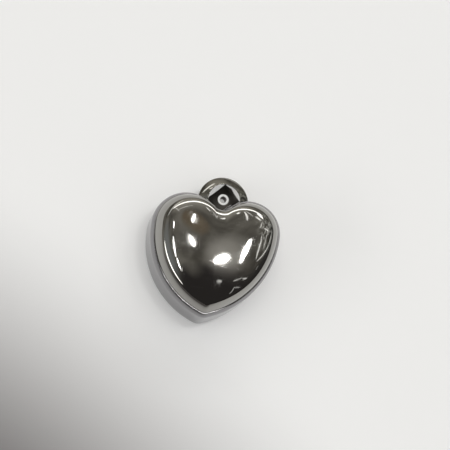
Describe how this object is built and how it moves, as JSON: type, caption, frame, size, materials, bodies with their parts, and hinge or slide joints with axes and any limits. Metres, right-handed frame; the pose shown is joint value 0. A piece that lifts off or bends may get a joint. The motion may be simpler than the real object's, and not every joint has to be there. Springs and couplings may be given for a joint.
{
  "type": "heart pendant",
  "caption": "Hollow puffed heart pendant in mirror-polished metal, with a deep flat-backed case, a domed front and a thick round eye set in the notch.",
  "frame": {"origin": "on the plane of the flat back, under the middle of the pendant's outer box", "axes": "+X to the heart's right as seen from the front, +Y up the heart from its tip towards the eye, +Z out of the domed front"},
  "size_m": [0.025, 0.0284, 0.0128],
  "materials": {
    "polished_front": "mirror polish with a few fine scratches",
    "polished_case": "mirror polish",
    "polished_eye": "mirror polish",
    "solder": "dull solder, hidden or set back in the seam"
  },
  "bodies": {
    "root": {"front_shell": "polished_front", "case_shell": "polished_case", "seam_solder": "solder", "eye_ring": "polished_eye", "peg_solder": "solder"}
  },
  "joints": []
}
